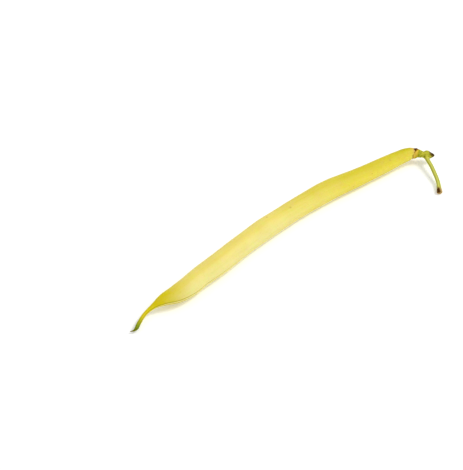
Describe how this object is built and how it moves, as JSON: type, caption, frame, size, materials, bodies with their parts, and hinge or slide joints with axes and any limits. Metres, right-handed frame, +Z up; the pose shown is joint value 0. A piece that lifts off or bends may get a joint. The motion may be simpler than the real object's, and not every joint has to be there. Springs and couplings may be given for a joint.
{
  "type": "wax bean",
  "caption": "Fresh yellow wax bean lying on its side, a long slightly bowed pod with a hooked green beak, a small dried calyx and a thin curved stem.",
  "frame": {"origin": "middle of the bean's outline seen from above, on the surface that it lies on", "axes": "+X along the bean from the beak to the stem, +Z up from the surface, +Y towards the side that the pod bows out to, away from the stem's cut end"},
  "size_m": [0.1567, 0.0332, 0.0082],
  "materials": {
    "pod_skin": "satin",
    "dried_calyx": "matte",
    "green_stem": "satin"
  },
  "bodies": {
    "root": {"pod": "pod_skin", "calyx": "dried_calyx", "stem": "green_stem"}
  },
  "joints": []
}
